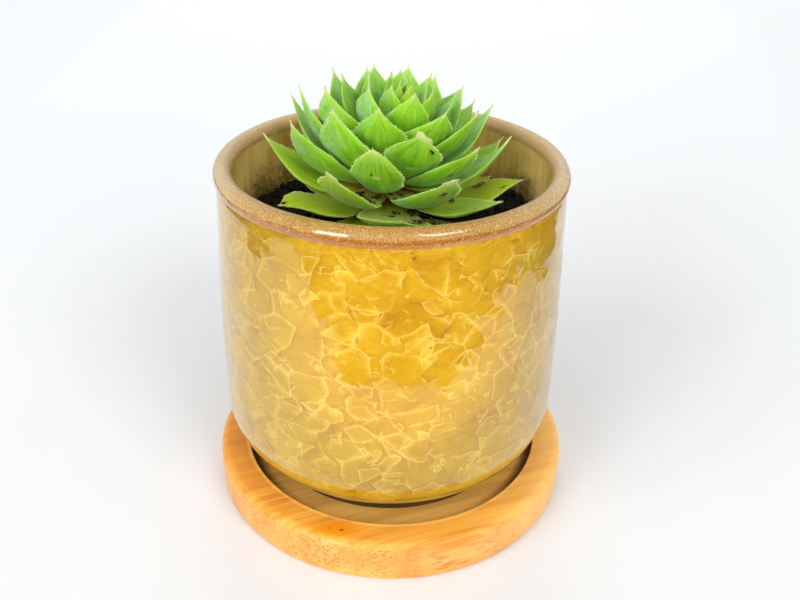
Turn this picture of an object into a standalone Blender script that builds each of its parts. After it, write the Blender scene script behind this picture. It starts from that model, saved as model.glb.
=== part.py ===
"""Potted houseleek: a rosette of separate leaves on a short stem, in a glazed pot on a turned bamboo saucer.

Metres, +Z up.  The origin is the middle of the saucer's underside.
"""
import math
import random

import bmesh
import bpy
from mathutils import Vector

MM = 0.001
GAP = 0.3 * MM                      # clearance kept between pieces that touch

# Saucer: one turned disc with a shallow recess
SAUCER_RADIUS = 44.4 * MM
SAUCER_HEIGHT = 10.7 * MM
SAUCER_EDGE = 2.2 * MM              # rounding of the upper outer edge
SAUCER_FOOT_EDGE = 1.6 * MM         # and of the lower one
RECESS_RADIUS = 37.0 * MM
RECESS_DEPTH = 2.7 * MM
RECESS_LIP = 0.5 * MM               # rounding of the recess's upper edge
RECESS_FILLET = 1.2 * MM            # and of the corner at its floor

# Pot: one slip-cast body, open at the top
POT_X, POT_Y = -0.7 * MM, 1.0 * MM  # it stands a little off the saucer's middle
RIM_TOP = 85.3 * MM
RIM_RADIUS = 40.0 * MM
RIM_WIDTH = 4.3 * MM
RIM_ROUNDING = 2.3 * MM             # height of the rounded top of the rim
LIP_DEPTH = 4.3 * MM                # from the rim's top down to the neck, outside
INNER_LIP_DEPTH = 6.0 * MM          # and down to the plain wall, inside
NECK_RADIUS = 39.35 * MM            # under the rim
SHOULDER_RADIUS = 40.5 * MM         # where the wall begins to narrow towards the neck
SHOULDER_LEVEL = 52.9 * MM
BELLY_RADIUS = 41.0 * MM
BOTTOM_LEVEL = 10.9 * MM
BOTTOM_ROUNDING = 15.0 * MM
FOOT_RADIUS = 31.2 * MM
FOOT_WIDTH = 3.5 * MM
FOOT_CHAMFER = 0.5 * MM
INNER_RADIUS = 36.4 * MM
INNER_ROUNDING = 11.0 * MM
FLOOR_THICKNESS = 4.5 * MM
DRAIN_RADIUS = 4.5 * MM

# Soil
SOIL_TOP = 68.2 * MM
SOIL_BUMP = 0.5 * MM
SOIL_RINGS = 4

# Rosette: it leans over a point on the soil
CROWN_X, CROWN_Y = POT_X - 1.6 * MM, POT_Y + 5.9 * MM
CROWN_LEVEL = 73.4 * MM
LEAN_RIGHT = math.radians(8.8)
LEAN_FRONT = math.radians(2.4)
STEM_DEPTH = 14.0 * MM              # how far it runs down into the soil
STEM_RADIUS = 3.9 * MM
STEM_HEIGHT = 13.0 * MM
BUD_RADIUS = 0.9 * MM
BUD_HEIGHT = 21.0 * MM
LEAF_COUNT = 52
FULL_GROWN = 47                     # older leaves than this one lie on the soil
GOLDEN_ANGLE = math.radians(137.508)
FIRST_AZIMUTH = math.radians(206.2)
# Every leaf lies on a bowl round the rosette's axis; the bowls widen and sink with the leaf's age,
# from 0 at the bud to 1 at the last full-grown leaf
BASE_TOP = 12.4 * MM                # height of the youngest base over the crown; the oldest is at 0
BASE_OFFSET = 0.6 * MM              # from the stem to the middle of a leaf's base
TIP_REACH, TIP_REACH_GROWTH, TIP_REACH_SLOWING = 1.5 * MM, 44.0 * MM, 13.6 * MM
TIP_TOP, TIP_FALL, TIP_FALL_POWER = 28.6 * MM, 23.6 * MM, 2.5
RISE_YOUNG, RISE_OLD, RISE_POWER = 84.0, -4.0, 0.7   # degrees that a base rises outwards
FLATTEST_AGE = 0.85
KNEE = 0.55                         # share of its length after which a leaf turns up
KNEE_DROOP = 0.3                    # share of the tip's droop by which the knee rises
LEAF_WIDTH = 12.4 * MM
LEAF_THICKNESS = 2.2 * MM
FLATNESS = 0.45                     # 0: a leaf is bent round the rosette, 1: it is flat across
# where along its length a leaf is widest, how full its shoulders are, how drawn-out its tip is
USUAL_FORM = (0.56, 2.0, 1.5)
WALL_CLEARANCE = 1.2 * MM           # between a leaf's tip and the pot's wall or the soil
# Single leaves, by number: degrees off the spiral, millimetres that the tip droops, share of full length
LEAF_TURN = {10: 11, 13: 12, 14: 6, 15: 8, 19: 8, 20: 5, 22: 4, 23: 2, 26: -4, 27: 4, 28: 3, 31: -6, 34: -5}
LEAF_DROOP = {10: -1.1, 13: -0.9, 15: 1.2, 16: 1.2, 19: 1, 23: 1.5, 25: -1, 26: -1.5, 28: 1, 29: -0.8,
              31: -0.5, 33: -2, 34: -0.5, 37: -1.2, 41: 2, 42: -1.2, 46: -6.5, 47: -0.5, 49: -8,
              51: -1.5, 52: -2.5}
LEAF_LENGTH = {49: 0.85, 50: 0.6}
LEAF_CURL = {46: 4.0, 47: 2.5}      # millimetres that the last third bends down again
LEAF_FORM = {31: (0.60, 2.3, 0.95), 23: (0.60, 2.2, 0.9), 36: (0.60, 2.2, 0.9), 39: (0.60, 2.2, 0.95)}
TIP_CUT = {23: (0.30, 0.10), 36: (0.26, -0.06), 39: (0.20, 0.06)}   # width left at a broken tip, its slant
LEAF_SWAY = {31: 6}                 # degrees that a base stands off the line to its tip
LEAF_ROLL = {13: -6, 15: -10, 18: 12, 20: -10, 21: 34, 23: -6, 24: 8, 26: 15, 28: -8, 29: 24, 31: 5,
             32: 12, 34: 24, 37: 16, 42: -4}
LEAF_BREADTH = {26: 1.05, 31: 0.87, 44: 1.25}

TURN_SEGMENTS = 48
STEM_SEGMENTS = 16
LEAF_SIDES = 8
LEAF_STATIONS = 10


def clear_scene():
    for thing in list(bpy.data.objects):
        bpy.data.objects.remove(thing)


def material(name, colour, roughness, metallic=0.0):
    made = bpy.data.materials.new(name)
    made.use_nodes = True
    shader = made.node_tree.nodes["Principled BSDF"]
    shader.inputs["Base Color"].default_value = (*colour, 1.0)
    shader.inputs["Roughness"].default_value = roughness
    shader.inputs["Metallic"].default_value = metallic
    return made


def add_object(name, bm, finish, place=(0.0, 0.0, 0.0), smooth=40.0):
    mesh = bpy.data.meshes.new(name)
    bm.to_mesh(mesh)
    bm.free()
    mesh.shade_smooth()
    mesh.set_sharp_from_angle(angle=math.radians(smooth))
    mesh.materials.append(finish)
    made = bpy.data.objects.new(name, mesh)
    made.location = place
    bpy.context.collection.objects.link(made)
    return made


def arc(centre, radii, start, end, steps):
    """Points on an elliptic arc in the (radius, height) plane, angles in degrees."""
    points = []
    for step in range(steps + 1):
        angle = math.radians(start + (end - start) * step / steps)
        points.append((centre[0] + radii[0] * math.cos(angle), centre[1] + radii[1] * math.sin(angle)))
    return points


def turned(profile, closed, segments=TURN_SEGMENTS):
    """Spins a (radius, height) profile about Z; an open one begins and ends on the axis."""
    bm = bmesh.new()
    ring = [bm.verts.new((radius, 0.0, height)) for radius, height in profile]
    edges = [bm.edges.new(pair) for pair in zip(ring, ring[1:])]
    if closed:
        edges.append(bm.edges.new((ring[-1], ring[0])))
    bmesh.ops.spin(bm, geom=ring + edges, cent=(0, 0, 0), axis=(0, 0, 1), angle=math.tau,
                   steps=segments, use_merge=True)
    bmesh.ops.remove_doubles(bm, verts=bm.verts, dist=1e-6)
    bmesh.ops.recalc_face_normals(bm, faces=bm.faces)
    return bm


def make_saucer():
    top, edge, foot_edge = SAUCER_HEIGHT, SAUCER_EDGE, SAUCER_FOOT_EDGE
    floor = top - RECESS_DEPTH
    profile = [(0.0, 0.0)]
    profile += arc((SAUCER_RADIUS - foot_edge, foot_edge), (foot_edge, foot_edge), -90, 0, 3)
    profile += arc((SAUCER_RADIUS - edge, top - edge), (edge, edge), 0, 90, 3)
    profile += arc((RECESS_RADIUS + RECESS_LIP, top - RECESS_LIP), (RECESS_LIP, RECESS_LIP), 90, 180, 2)
    profile += arc((RECESS_RADIUS - RECESS_FILLET, floor + RECESS_FILLET),
                   (RECESS_FILLET, RECESS_FILLET), 0, -90, 3)
    profile.append((0.0, floor))
    finish = material("bamboo", (0.80, 0.44, 0.14), 0.45)
    return add_object("bamboo_saucer", turned(profile, closed=False), finish)


def make_pot():
    foot_level = SAUCER_HEIGHT - RECESS_DEPTH + GAP
    floor_level = BOTTOM_LEVEL + FLOOR_THICKNESS
    corner = BOTTOM_ROUNDING
    foot_angle = -math.degrees(math.acos((FOOT_RADIUS - BELLY_RADIUS + corner) / corner))
    profile = [(FOOT_RADIUS - FOOT_WIDTH, foot_level), (FOOT_RADIUS - FOOT_CHAMFER, foot_level),
               (FOOT_RADIUS, foot_level + FOOT_CHAMFER)]
    profile += arc((BELLY_RADIUS - corner, BOTTOM_LEVEL + corner), (corner, corner), foot_angle, 0, 6)
    profile += [(SHOULDER_RADIUS, SHOULDER_LEVEL), (NECK_RADIUS, RIM_TOP - LIP_DEPTH)]
    profile += arc((RIM_RADIUS - 0.5 * RIM_WIDTH, RIM_TOP - RIM_ROUNDING),
                   (0.5 * RIM_WIDTH, RIM_ROUNDING), -30, 180, 7)
    profile.append((INNER_RADIUS, RIM_TOP - INNER_LIP_DEPTH))
    profile += arc((INNER_RADIUS - INNER_ROUNDING, floor_level + INNER_ROUNDING),
                   (INNER_ROUNDING, INNER_ROUNDING), 0, -90, 4)
    profile += [(DRAIN_RADIUS, floor_level), (DRAIN_RADIUS, BOTTOM_LEVEL),
                (FOOT_RADIUS - FOOT_WIDTH, BOTTOM_LEVEL)]
    finish = material("amber_glaze", (0.72, 0.46, 0.10), 0.15)
    return add_object("glazed_pot", turned(profile, closed=True), finish, (POT_X, POT_Y, 0.0))


def rosette_axis():
    """The empty that the stem, its socket and the leaves hang on, so that they lean together."""
    axis = bpy.data.objects.new("rosette_axis", None)
    axis.location = (CROWN_X, CROWN_Y, CROWN_LEVEL)
    axis.rotation_euler = (LEAN_FRONT, LEAN_RIGHT, 0.0)
    bpy.context.collection.objects.link(axis)
    bpy.context.view_layer.update()
    return axis


def make_soil(axis):
    """A fill that follows the pot's inside, uneven on top, with a socket for the stem."""
    chance = random.Random(7)
    bottom = BOTTOM_LEVEL + FLOOR_THICKNESS + GAP
    outer = INNER_RADIUS - GAP
    corner = INNER_ROUNDING - GAP
    profile = [(0.0, bottom)]
    profile += arc((outer - corner, bottom + corner), (corner, corner), -90, 0, 4)
    profile += [(outer * (SOIL_RINGS - ring) / SOIL_RINGS, SOIL_TOP) for ring in range(SOIL_RINGS)]
    profile.append((0.0, SOIL_TOP))
    bm = turned(profile, closed=False)
    for vert in bm.verts:
        if vert.co.z > SOIL_TOP - 0.1 * MM:
            vert.co.z += chance.uniform(-SOIL_BUMP, SOIL_BUMP)
    finish = material("potting_soil", (0.020, 0.015, 0.011), 0.95)
    soil = add_object("potting_soil", bm, finish, (POT_X, POT_Y, 0.0))

    shaft = bmesh.new()
    bmesh.ops.create_cone(shaft, cap_ends=True, segments=STEM_SEGMENTS, radius1=STEM_RADIUS + GAP,
                          radius2=STEM_RADIUS + GAP, depth=2 * (STEM_DEPTH + GAP))
    cutter = add_object("socket_cutter", shaft, finish)
    cutter.parent = axis
    cutter.display_type = "WIRE"
    cutter.hide_render = True
    cut = soil.modifiers.new("stem socket", "BOOLEAN")
    cut.operation = "DIFFERENCE"
    cut.object = cutter


def stem_radius(height):
    """Straight up to the crown, then tapering to the closed bud."""
    share = min(max(height / STEM_HEIGHT, 0.0), 1.0)
    return STEM_RADIUS + (BUD_RADIUS - STEM_RADIUS) * share


def make_stem(axis):
    profile = [(0.0, -STEM_DEPTH), (0.6 * STEM_RADIUS, -STEM_DEPTH), (STEM_RADIUS, -0.85 * STEM_DEPTH)]
    profile += [(stem_radius(share * STEM_HEIGHT), share * STEM_HEIGHT) for share in (0.0, 0.33, 0.67, 1.0)]
    profile += arc((0.0, STEM_HEIGHT), (1.25 * BUD_RADIUS, BUD_HEIGHT - STEM_HEIGHT), 20, 90, 3)
    finish = material("stem_and_bud", (0.30, 0.42, 0.08), 0.5)
    stem = add_object("stem_and_bud", turned(profile, closed=False, segments=STEM_SEGMENTS), finish)
    stem.parent = axis


def mix(low, high, share):
    return low + (high - low) * share


def leaf_curve(age, along, droop, curl):
    """Point and inward normal, as radius and height, on the bowl that a leaf of this age lies on.

    along runs from 0 at the base to 1 at the tip.
    """
    base_z = mix(BASE_TOP, 0.0, age)
    base_r = stem_radius(base_z) + BASE_OFFSET
    tip_r = TIP_REACH + TIP_REACH_GROWTH * age - TIP_REACH_SLOWING * age ** 2
    tip_z = TIP_TOP - TIP_FALL * age ** TIP_FALL_POWER - droop
    rise = math.radians(mix(RISE_YOUNG, RISE_OLD, min(1.0, age / FLATTEST_AGE) ** RISE_POWER))
    knee = KNEE * math.hypot(tip_r - base_r, tip_z - base_z)
    knee_r = base_r + knee * math.cos(rise)
    knee_z = base_z + knee * math.sin(rise) + KNEE_DROOP * droop
    back = 1.0 - along
    radius = back ** 2 * base_r + 2 * back * along * knee_r + along ** 2 * tip_r
    height = back ** 2 * base_z + 2 * back * along * knee_z + along ** 2 * tip_z
    bend = max(0.0, 3.0 * along - 2.0)
    height -= curl * bend ** 2
    slope_r = back * (knee_r - base_r) + along * (tip_r - knee_r)
    slope_z = back * (knee_z - base_z) + along * (tip_z - knee_z) - 3.0 * curl * bend
    length = math.hypot(slope_r, slope_z)
    return radius, height, -slope_z / length, slope_r / length


def leaf_outline(along, form, cut):
    """Half-width as a share of the greatest: a narrow base, a broad upper half, a drawn-out tip."""
    widest, fullness, draw = form
    if along < widest:
        swell = math.sin(0.5 * math.pi * along / widest)
        return (0.50 + 0.50 * swell ** 2) * min(1.0, 4.0 * math.sqrt(along))
    past = (along - widest) / (1.0 - widest)
    body = max(0.0, 1.0 - (past / 0.94) ** fullness) ** draw
    blunt = cut * min(1.0, 14.0 * math.sqrt(1.0 - along))
    return max(body, blunt) + 0.045 * math.sqrt(1.0 - past)


def leaf_depth(along):
    """Thickness as a share of the greatest."""
    blade = 0.38 + 0.62 * math.sin(math.pi * along ** 0.9)
    return blade * min(1.0, 5.0 * math.sqrt(along)) * min(1.0, 0.25 + 2.2 * (1.0 - along))


def leaf_reach(axis, age, azimuth, *shape):
    """Share of its bowl that a leaf covers: less where the pot's wall or the soil is in the way."""
    for percent in range(100, 50, -2):
        radius, height, _, _ = leaf_curve(age, percent / 100, *shape)
        tip = axis.matrix_world @ Vector((radius * math.cos(azimuth), radius * math.sin(azimuth), height))
        off_axis = math.hypot(tip.x - POT_X, tip.y - POT_Y)
        if tip.z > SOIL_TOP + WALL_CLEARANCE and (
                tip.z > RIM_TOP or off_axis < INNER_RADIUS - WALL_CLEARANCE):
            break
    return percent / 100


def make_leaf(number, axis, finish):
    """A ball drawn out along a curved bowl: leaf 1 is the youngest, by the bud."""
    age = (number - 0.5) / FULL_GROWN
    azimuth = FIRST_AZIMUTH - GOLDEN_ANGLE * number + math.radians(LEAF_TURN.get(number, 0))
    half_width = 0.5 * LEAF_WIDTH * min(1.0, 0.35 + 2.4 * age) * LEAF_BREADTH.get(number, 1.0)
    thickness = LEAF_THICKNESS * min(1.0, 0.45 + 1.2 * age)
    form = LEAF_FORM.get(number, USUAL_FORM)
    cut, slant = TIP_CUT.get(number, (0.0, 0.0))
    sway = math.radians(LEAF_SWAY.get(number, 0.0))
    roll = math.radians(LEAF_ROLL.get(number, 0.0))
    shape = LEAF_DROOP.get(number, 0.0) * MM, LEAF_CURL.get(number, 0.0) * MM
    reach = min(leaf_reach(axis, age, azimuth, *shape), LEAF_LENGTH.get(number, 1.0))
    bm = bmesh.new()
    bmesh.ops.create_uvsphere(bm, u_segments=LEAF_SIDES, v_segments=LEAF_STATIONS, radius=1.0)
    for vert in bm.verts:
        along = min(max(0.5 * (vert.co.z + 1.0), 0.0), 1.0)
        ring = math.hypot(vert.co.x, vert.co.y) or 1.0
        across, face = vert.co.x / ring, vert.co.y / ring
        width = half_width * leaf_outline(along, form, cut)
        turn = azimuth + sway * (1.0 - along)
        along -= slant * across * max(0.0, along - 0.6)
        radius, height, normal_r, normal_z = leaf_curve(age, along * reach, *shape)
        side = 0.3 if face > 0.0 else -0.7
        offset = side * abs(face) ** 1.3 * thickness * leaf_depth(along) + across * width * math.sin(roll)
        radius += offset * normal_r
        height += offset * normal_z
        aside = across * width * math.cos(roll)
        turn += (1.0 - FLATNESS) * aside / max(radius, 1.5 * MM)
        aside *= FLATNESS
        vert.co = (radius * math.cos(turn) - aside * math.sin(turn),
                   radius * math.sin(turn) + aside * math.cos(turn), height)
    leaf = add_object(f"leaf_{number:02d}", bm, finish, smooth=60.0)
    leaf.parent = axis


def main():
    clear_scene()
    axis = rosette_axis()
    make_saucer()
    make_pot()
    make_soil(axis)
    make_stem(axis)
    finish = material("houseleek_leaf", (0.22, 0.45, 0.03), 0.4)
    for number in range(1, LEAF_COUNT + 1):
        make_leaf(number, axis, finish)


main()
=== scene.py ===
import math
import random

import bmesh
import bpy
from mathutils import Euler, Matrix, Vector, noise
from mathutils.bvhtree import BVHTree


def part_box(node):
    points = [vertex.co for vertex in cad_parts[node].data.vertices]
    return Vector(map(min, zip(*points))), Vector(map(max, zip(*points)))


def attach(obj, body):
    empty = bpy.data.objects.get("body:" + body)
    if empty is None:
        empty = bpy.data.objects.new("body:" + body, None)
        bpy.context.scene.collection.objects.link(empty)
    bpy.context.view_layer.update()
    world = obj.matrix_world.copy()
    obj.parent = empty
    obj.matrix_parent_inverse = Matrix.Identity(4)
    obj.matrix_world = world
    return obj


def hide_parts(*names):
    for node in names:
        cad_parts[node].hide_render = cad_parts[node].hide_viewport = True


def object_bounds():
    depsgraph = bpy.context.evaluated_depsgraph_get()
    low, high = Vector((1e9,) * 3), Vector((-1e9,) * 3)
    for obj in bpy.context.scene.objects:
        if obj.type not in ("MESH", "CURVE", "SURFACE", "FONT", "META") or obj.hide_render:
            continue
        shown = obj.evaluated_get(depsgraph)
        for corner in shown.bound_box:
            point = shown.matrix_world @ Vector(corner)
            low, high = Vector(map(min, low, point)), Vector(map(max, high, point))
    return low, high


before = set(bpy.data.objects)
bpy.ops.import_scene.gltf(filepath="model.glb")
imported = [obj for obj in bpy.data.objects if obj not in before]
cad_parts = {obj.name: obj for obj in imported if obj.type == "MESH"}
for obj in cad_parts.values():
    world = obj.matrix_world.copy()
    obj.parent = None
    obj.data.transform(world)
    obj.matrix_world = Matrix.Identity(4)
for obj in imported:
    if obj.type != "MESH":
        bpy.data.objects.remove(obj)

cad_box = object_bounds()


# ---- Bamboo saucer ---------------------------------------------------------------------------------
# A disc turned from a blank of glued bamboo strips and lightly oiled, with a shallow recess for the
# pot. The fibres run from left to right; the rounded rim is paler, where the tool cut across them.

MM = 0.001
SAUCER_EDGE = 2.2 * MM
SAUCER_FOOT_EDGE = 1.6 * MM
RECESS_RADIUS = 37.0 * MM
RECESS_DEPTH = 2.7 * MM
RECESS_LIP = 0.5 * MM
RECESS_FILLET = 1.2 * MM
SAUCER_STEPS = 192
GRAIN_TURN = math.radians(22)       # from the saucer's own x axis to its fibres


def hex_colour(code):
    """An sRGB hex value as the linear colour that a socket takes."""
    channels = [int(code[at:at + 2], 16) / 255 for at in (1, 3, 5)]
    return (*[c / 12.92 if c <= 0.04045 else ((c + 0.055) / 1.055) ** 2.4 for c in channels], 1.0)


def feed(tree, node, inputs):
    """Sets a node's inputs: each takes a value, a hex colour, or the node or socket that feeds it."""
    for name, value in inputs.items():
        socket = node.inputs[name] if isinstance(name, int) else next(
            s for s in node.inputs if s.name == name and s.enabled)
        if isinstance(value, bpy.types.Node):
            value = next(s for s in value.outputs if s.enabled)
        if isinstance(value, bpy.types.NodeSocket):
            tree.links.new(value, socket)
        else:
            socket.default_value = hex_colour(value) if isinstance(value, str) else value


def add_node(tree, kind, inputs=(), stops=(), **settings):
    """Adds a node with its settings, the stops of its colour ramp, and what feeds its inputs."""
    made = tree.nodes.new("ShaderNode" + kind)
    for name, value in settings.items():
        setattr(made, name, value)
    if stops:
        while len(made.color_ramp.elements) < len(stops):
            made.color_ramp.elements.new(1.0)
        for element, (position, code) in zip(made.color_ramp.elements, stops):
            element.position = position
            element.color = hex_colour(code)
    feed(tree, made, dict(inputs))
    return made


def new_finish(name, roughness, **sockets):
    """A material with its shader's settings: returns it, its tree, the shader and millimetres in space."""
    made = bpy.data.materials.new(name)
    made.use_nodes = True
    tree = made.node_tree
    shader = tree.nodes["Principled BSDF"]
    feed(tree, shader, {"Roughness": roughness})
    feed(tree, shader, {socket.replace("_", " "): value for socket, value in sockets.items()})
    place = add_node(tree, "TexCoord").outputs["Object"]
    mm = add_node(tree, "VectorMath", {0: place, "Scale": 1 / MM}, operation="SCALE")
    return made, tree, shader, mm


def paint_over(tree, colour, layers):
    """Lays colours over another, one after the other. Each layer is a pattern, the values at which it
    starts and is full, its greatest strength, a factor that limits it, and its hex or patterned colour."""
    for pattern, start, full, most, limit, over in layers:
        part = add_node(tree, "MapRange", {
            "Value": pattern, "From Min": start, "From Max": full, "To Max": most})
        part = add_node(tree, "Math", {0: part, 1: limit}, operation="MULTIPLY")
        colour = add_node(tree, "Mix", {"Factor": part, "A": colour, "B": over}, data_type="RGBA")
    return colour


def distance_from(tree, place, centre, size):
    """How far a place lies from a centre, counted in a size for each direction; inf leaves one out."""
    off = add_node(tree, "VectorMath", {0: place, 1: centre}, operation="SUBTRACT")
    off = add_node(tree, "VectorMath", {0: off, 1: [1 / part for part in size]}, operation="MULTIPLY")
    return add_node(tree, "VectorMath", {0: off}, operation="LENGTH")


def arc(centre, radius, start, end, steps, height=None):
    """Points on an arc in the (radius, height) plane, angles in degrees; a height makes it elliptic."""
    points = []
    for step in range(steps + 1):
        angle = math.radians(start + (end - start) * step / steps)
        points.append((centre[0] + radius * math.cos(angle),
                       centre[1] + (height or radius) * math.sin(angle)))
    return points


def turned(profile, closed, steps, centre=(0.0, 0.0)):
    """Spins a (radius, height) profile about an upright axis."""
    bm = bmesh.new()
    ring = [bm.verts.new((centre[0] + radius, centre[1], height)) for radius, height in profile]
    edges = [bm.edges.new(pair) for pair in zip(ring, ring[1:])]
    if closed:
        edges.append(bm.edges.new((ring[-1], ring[0])))
    bmesh.ops.spin(bm, geom=ring + edges, cent=(centre[0], centre[1], 0), axis=(0, 0, 1), angle=math.tau,
                   steps=steps, use_merge=True)
    bmesh.ops.remove_doubles(bm, verts=bm.verts, dist=1e-6)
    bmesh.ops.recalc_face_normals(bm, faces=bm.faces)
    return bm


def put_down(name, bm, finishes, stands_for=(), sharp=40.0):
    """Makes the piece, smooth except at sharp edges, and puts it in the place of its CAD nodes."""
    mesh = bpy.data.meshes.new(name)
    bm.to_mesh(mesh)
    bm.free()
    mesh.shade_smooth()
    mesh.set_sharp_from_angle(angle=math.radians(sharp))
    for finish in finishes:
        mesh.materials.append(finish)
    piece = bpy.data.objects.new(name, mesh)
    bpy.context.scene.collection.objects.link(piece)
    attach(piece, "root")
    if stands_for:
        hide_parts(*stands_for)


def oiled_bamboo():
    """Oiled bamboo: long fibres in bundles, dense and orange near both faces, sparse and pale between."""
    made, tree, shader, mm = new_finish("oiled_bamboo", 0.4, Specular_IOR_Level=0.4)
    across, _, level = add_node(tree, "SeparateXYZ", {"Vector": mm}).outputs
    along = add_node(tree, "Mapping", {"Vector": mm, "Rotation": (0, 0, -GRAIN_TURN)})
    thin = add_node(tree, "VectorMath", {0: along, 1: (1 / 24, 1 / 0.45, 1 / 0.6)}, operation="MULTIPLY")
    fibres = add_node(tree, "TexNoise", {"Vector": thin, "Scale": 1.0, "Detail": 3.0, "Roughness": 0.6})
    broad = add_node(tree, "VectorMath", {0: along, 1: (1 / 60, 1 / 3.4, 1 / 7)}, operation="MULTIPLY")
    streaks = add_node(tree, "TexNoise", {"Vector": broad, "Scale": 1.0, "Detail": 2.0})
    shade = add_node(tree, "Math", {0: fibres, 1: 0.55, 2: streaks}, operation="MULTIPLY_ADD")
    dense = add_node(tree, "ValToRGB", {"Fac": shade}, stops=(
        (0.52, "#C07220"), (0.66, "#D88C2E"), (0.78, "#E6A03E"), (0.90, "#ECA842"), (1.00, "#F0B24C")))
    # vascular bundles: drawn 0.75 mm apart, a little coarser than they are
    sliced = add_node(tree, "VectorMath", {0: along, 1: (1 / 7, 1 / 0.75, 1 / 0.75)}, operation="MULTIPLY")
    bundle = add_node(tree, "TexVoronoi", {"Vector": sliced, "Scale": 1.0, "Randomness": 0.7})
    patch = add_node(tree, "TexNoise", {"Vector": mm, "Scale": 1 / 11, "Detail": 1.0})
    patchy = add_node(tree, "MapRange", {
        "Value": patch, "From Min": 0.36, "From Max": 0.62, "To Min": 0.95, "To Max": 0.40})
    pith = add_node(tree, "ValToRGB", {"Fac": shade}, stops=(
        (0.60, "#DA9444"), (0.74, "#E09C4C"), (0.88, "#E4A454"), (1.00, "#EAAE62")))
    sparse = paint_over(tree, pith, [(bundle, 0.42, 0.26, 1.0, patchy, "#C06A20")])
    uneven = add_node(tree, "Math", {0: patch, 1: 2.2, 2: level}, operation="MULTIPLY_ADD")
    skin = add_node(tree, "MapRange", {"Value": uneven, "From Min": 10.0, "From Max": 11.2})
    underside = add_node(tree, "MapRange", {"Value": uneven, "From Min": 3.4, "From Max": 2.0})
    both = add_node(tree, "Math", {0: skin, 1: underside}, operation="MAXIMUM")
    wood = add_node(tree, "Mix", {"Factor": both, "A": sparse, "B": dense}, data_type="RGBA")
    # deeper orange towards the left; paler towards the right, a painted sheen where the right window's light
    # is reflected
    wood = paint_over(tree, wood, [
        (across, -26.0, -42.0, 0.5, skin, "#D8862E"), (across, 18.0, 42.0, 0.6, 1.0, "#FACA76")])
    # the recess floor is the dense wood painted much paler: painted light that cancels the pot's shadow
    # there; its fibres show as fine grooves
    from_axis = distance_from(tree, mm, (0, 0, 0), (1, 1, math.inf))
    floor_painted_light = add_node(tree, "Mix", {"Factor": 0.85, "A": dense, "B": "#FFC666"}, data_type="RGBA")
    floor_painted_light = paint_over(tree, floor_painted_light, [(shade, 0.84, 0.62, 0.45, 1.0, "#D0862E")])
    # the floor of the recess, with painted shade dark in its corner and painted shadow, in a broader band, at
    # its two sides
    corner = RECESS_RADIUS / MM
    within = add_node(tree, "MapRange", {
        "Value": from_axis, "From Min": corner + 0.35, "From Max": corner + 0.1})
    corner_shade = add_node(tree, "MapRange", {
        "Value": patch, "From Min": 0.30, "From Max": 0.60, "To Min": 0.95, "To Max": 0.55})
    corner_shade = add_node(tree, "Math", {0: within, 1: corner_shade}, operation="MULTIPLY")
    sideways = add_node(tree, "Math", {0: across}, operation="ABSOLUTE")
    side_shadow = add_node(tree, "MapRange", {"Value": sideways, "From Min": 16.0, "From Max": 30.0})
    side_shadow = add_node(tree, "Math", {0: within, 1: side_shadow}, operation="MULTIPLY")
    layers = [(from_axis, 38.4, 37.8, 1.0, 1.0, floor_painted_light),
              (from_axis, corner - 1.6, corner - 0.5, 1.0, corner_shade, "#4E3410"),
              (from_axis, corner - 3.2, corner - 1.2, 0.85, side_shadow, "#3C2610")]
    # a deep streak in one strip, and a node of the cane with its dark scar
    for source, centre, size, strength, code in (
            (along, (-1.0, -44.3, 10.7), (13.0, 0.9, 3.0), 0.8, "#E87C0C"),
            (mm, (-11.6, -39.4, 10.7), (7.0, 2.8, 2.4), 0.92, "#E88A04"),
            (mm, (-10.6, -39.4, 10.7), (0.7, 0.35, 0.6), 0.9, "#7A3A12"),
            (mm, (-13.2, -38.9, 10.7), (0.4, 0.25, 0.6), 0.8, "#8A4A16"),
            (mm, (-18.0, -29.9, 8.0), (0.8, 0.4, 1.0), 0.7, "#8A5A24")):
        off = distance_from(tree, source, centre, size)
        ragged = add_node(tree, "Math", {0: fibres, 1: 0.9, 2: off}, operation="MULTIPLY_ADD")
        layers.append((ragged, 1.5, 0.9, strength, 1.0, code))
    colour = paint_over(tree, wood, layers)
    bump = add_node(tree, "Bump", {"Height": fibres, "Strength": 0.3, "Distance": 0.06 * MM})
    feed(tree, shader, {"Base Color": colour, "Normal": bump})
    return made


low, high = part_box("bamboo_saucer")
saucer_radius = 0.5 * (high.x - low.x)
saucer_top = high.z
recess_floor = saucer_top - RECESS_DEPTH
profile = [(0.0, low.z)]
profile += arc((saucer_radius - SAUCER_FOOT_EDGE, low.z + SAUCER_FOOT_EDGE), SAUCER_FOOT_EDGE, -90, 0, 7)
profile += arc((saucer_radius - SAUCER_EDGE, saucer_top - SAUCER_EDGE), SAUCER_EDGE, 0, 90, 9)
profile += arc((RECESS_RADIUS + RECESS_LIP, saucer_top - RECESS_LIP), RECESS_LIP, 90, 180, 5)
profile += arc((RECESS_RADIUS - RECESS_FILLET, recess_floor + RECESS_FILLET), RECESS_FILLET, 0, -90, 6)
profile.append((0.0, recess_floor))
put_down("turned_bamboo_saucer", turned(profile, False, SAUCER_STEPS), [oiled_bamboo()], ["bamboo_saucer"])


# ---- Glazed pot ------------------------------------------------------------------------------------
# A slip-cast stoneware body, dipped in a thick amber crackle glaze that broke into wide pale-edged
# cells. The rolled rim is thinner glazed: tan and finely speckled, rust-brown where it ends.

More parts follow.
